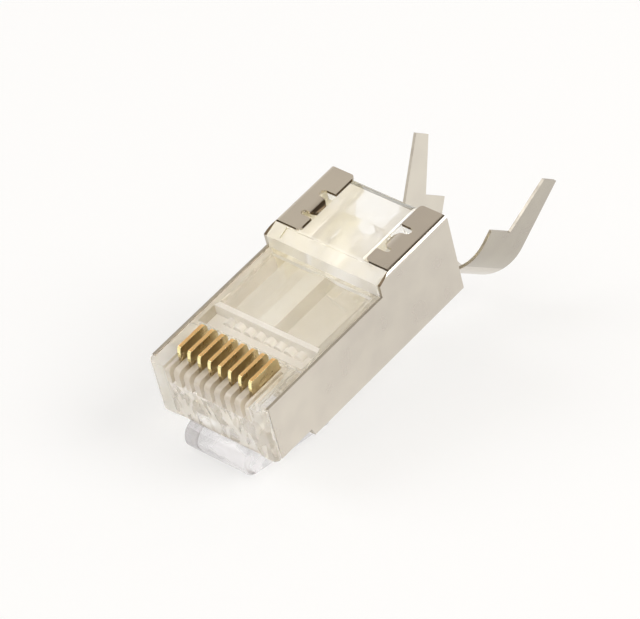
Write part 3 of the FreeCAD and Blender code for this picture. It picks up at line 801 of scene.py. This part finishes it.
HOUSING_CUTS = (                    # box that holds the face's middle, point and direction of the plane
    ((-6, -0.1, 0), (6, 0.1, 6.3), (0, 0, 4.6), UP),                     # front wall, under the comb
    ((-6, 15, 7.85), (6, 22, 8.0), (0, 21.1, 0), LENGTHWISE),            # strip along the rear edge
    ((-6, -0.1, 6.1), (6, 7, 6.3), (0, 4.6, 0), LENGTHWISE),             # front top, behind the comb
    ((-6, -0.1, 6.1), (6, 4.6, 6.3), (-4.25, 0, 0), RIGHT),              # comb's left end
    ((-6, -0.1, 6.1), (6, 4.6, 6.3), (4.25, 0, 0), RIGHT),               # comb's right end
    ((-5.7, 5, 0.5), (-5.4, 18, 7.5), (0, 14.0, 0), LENGTHWISE),         # left side, at the step
)

# %% Housing
housing_mesh = merged_copy("housing")
for cut in HOUSING_CUTS:
    cut_faces(housing_mesh, *cut)
coat(housing_mesh, HOUSING_FINISHES, HOUSING_RULES)
housing = rounded_piece("housing_clear", housing_mesh, HOUSING_EDGE)
dress(housing, "plug_body", "housing")

# %% [markdown]
# ## Latch
#
# The latch is moulded from the same clear plastic, but it is thick at its root and lies in the plug's own
# shade, so its tones are darker, a painted shade, and its painted facets add light and shade. It could be one
# mesh with the housing, as the real one is, but then it couldn't swing, so it is a piece on a body of its
# own. Its edges are rounder than the housing's, so its bevel is wider and has more steps.

# %% Latch
LATCH_EDGE = 0.30 * MM
LATCH_STEPS = 4

latch_mesh = merged_copy("latch")
coat(latch_mesh, (LATCH_PAINTED_SHADE_AND_LIGHT,), ())
latch = rounded_piece("latch_arm", latch_mesh, LATCH_EDGE, LATCH_STEPS)
dress(latch, "latch", "latch")

# %% [markdown]
# ## Row of blades
#
# Eight equal blades stand in a row, one slot apart. An Array modifier could set them out, but it can't paint
# a side by the way that it looks. One blade is cut at the level of the slots' edge, and a Geometry Nodes
# tree puts a copy of it at its place in the row. The tree also paints light and shade on each blade by the
# way its sides look: painted shade on the flanks, a painted reflection of the bright table on the noses and
# heels, and a darker painted shade on those below the slots' edge. Each blade is crimped by itself, so each
# is its own piece on its own body: the tree is evaluated once for every place. It is built from helpers that
# pick faces and paint them.

# %% Pick and paint in a tree
FLANK_LEAST = 0.9                   # how squarely a flank looks sideways
NOSE_LEAST = 0.3                    # how far a nose or heel looks along the plug


def looks_along(tree, axis, least):
    """One on the faces that look along an axis, either way."""
    normal = add_node(tree, "GeometryNodeInputNormal")
    parts = add_node(tree, "ShaderNodeSeparateXYZ")
    feed(tree, parts.inputs[0], normal.outputs["Normal"])
    return maths(tree, "GREATER_THAN", maths(tree, "ABSOLUTE", parts.outputs[axis]), least)


def below_level(tree, level, chosen):
    """The chosen faces, but only those whose middle is under a level."""
    place = add_node(tree, "GeometryNodeInputPosition")
    parts = add_node(tree, "ShaderNodeSeparateXYZ")
    feed(tree, parts.inputs[0], place.outputs["Position"])
    return maths(tree, "MULTIPLY", maths(tree, "LESS_THAN", parts.outputs["Z"], level), chosen)


def painted(tree, geometry, material, chosen=None):
    paint = add_node(tree, "GeometryNodeSetMaterial")
    feed(tree, paint.inputs["Geometry"], geometry)
    feed(tree, paint.inputs["Material"], material)
    if chosen is not None:
        feed(tree, paint.inputs["Selection"], chosen)
    return paint.outputs["Geometry"]


# %% Tree of the row
ROW_INPUTS = (
    ("Geometry", "Geometry"), ("First", "Int"), ("Count", "Int"), ("Pitch", "Float"), ("Slot Level", "Float"),
    ("Finish", "Material"), ("Flank Painted Shade", "Material"), ("Nose Painted Reflection", "Material"),
    ("Slot Painted Shade", "Material"),
)


def blades_in_line(tree, given):
    """Copies of the given blade, from the first place on, one pitch apart."""
    start = add_node(tree, "ShaderNodeCombineXYZ")
    step = add_node(tree, "ShaderNodeCombineXYZ")
    line = add_node(tree, "GeometryNodeMeshLine", mode="OFFSET")
    put = add_node(tree, "GeometryNodeInstanceOnPoints")
    real = add_node(tree, "GeometryNodeRealizeInstances")
    feed(tree, start.inputs["X"], maths(tree, "MULTIPLY", given["First"], given["Pitch"]))
    feed(tree, step.inputs["X"], given["Pitch"])
    feed(tree, line.inputs["Count"], given["Count"])
    feed(tree, line.inputs["Start Location"], start.outputs[0])
    feed(tree, line.inputs["Offset"], step.outputs[0])
    feed(tree, put.inputs["Points"], line.outputs["Mesh"])
    feed(tree, put.inputs["Instance"], given["Geometry"])
    feed(tree, real.inputs["Geometry"], put.outputs["Instances"])
    return real.outputs["Geometry"]


def blade_row_tree():
    tree = bpy.data.node_groups.new("blade_row", "GeometryNodeTree")
    for name, kind in ROW_INPUTS:
        tree.interface.new_socket(name=name, in_out="INPUT", socket_type="NodeSocket" + kind)
    tree.interface.new_socket(name="Geometry", in_out="OUTPUT", socket_type="NodeSocketGeometry")
    given = add_node(tree, "NodeGroupInput").outputs
    blades = painted(tree, blades_in_line(tree, given), given["Finish"])
    # Painted shade on the flanks, a painted reflection on noses and heels, a darker painted shade on those
    # below the slots' edge.
    blades = painted(tree, blades, given["Flank Painted Shade"], looks_along(tree, "X", FLANK_LEAST))
    blades = painted(tree, blades, given["Nose Painted Reflection"], looks_along(tree, "Y", NOSE_LEAST))
    sunk = below_level(tree, given["Slot Level"], looks_along(tree, "Y", NOSE_LEAST))
    blades = painted(tree, blades, given["Slot Painted Shade"], sunk)
    feed(tree, add_node(tree, "NodeGroupOutput").inputs["Geometry"], blades)
    return tree


BLADE_ROW = blade_row_tree()
print("row tree nodes", len(BLADE_ROW.nodes))

# %% [markdown]
# ## Blades in their places
#
# The pitch is measured on the solids, so the copies stand exactly where the solids are. Each copy gets its
# small round edges and takes the place of its own solid.

# %% Blades
PAD_FOOT = 6.50                     # level at which a blade's nose leaves its slot
PAD_FRONT = (0, 1.2, PAD_FOOT)
BLADE_BOX = ((-6, 0, 4), (6, 2, 8))
BLADE_EDGE = 0.015 * MM
contact_names = sorted(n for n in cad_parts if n.startswith("contact_"))


def middle_x(node):
    low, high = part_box(node)
    return (low[0] + high[0]) / 2


PITCH = (middle_x(contact_names[-1]) - middle_x(contact_names[0])) / (len(contact_names) - 1)
ROW_VALUES = {
    "Count": 1, "Pitch": PITCH, "Slot Level": from_body(PAD_FRONT).z,
    "Finish": GOLD, "Flank Painted Shade": GOLD_FLANK_PAINTED_SHADE, "Nose Painted Reflection": GOLD_NOSE_PAINTED_REFLECTION, "Slot Painted Shade": GOLD_SLOT_PAINTED_SHADE,
}


def set_input(modifier, name, value):
    """A modifier's input is addressed by its socket's identifier."""
    for socket in modifier.node_group.interface.items_tree:
        if socket.in_out == "INPUT" and socket.name == name:
            modifier[socket.identifier] = value
            return
    raise KeyError(name)


def blade_at(index, pattern):
    """The mesh that the row's tree makes for one place."""
    piece = bpy.data.objects.new("row", pattern)
    bpy.context.scene.collection.objects.link(piece)
    row = piece.modifiers.new("row", "NODES")
    row.node_group = BLADE_ROW
    set_input(row, "First", index)
    for name, value in ROW_VALUES.items():
        set_input(row, name, value)
    bpy.context.view_layer.update()
    depsgraph = bpy.context.evaluated_depsgraph_get()
    mesh = bpy.data.meshes.new_from_object(piece.evaluated_get(depsgraph))
    bpy.data.objects.remove(piece)
    return mesh


pattern = merged_copy(contact_names[0])
cut_faces(pattern, *BLADE_BOX, PAD_FRONT, UP)
for index, node in enumerate(contact_names):
    blade = rounded_piece("blade_%d" % (index + 1), blade_at(index, pattern), BLADE_EDGE)
    dress(blade, node, node)
print("pitch", round(PITCH / MM, 3), "mm")
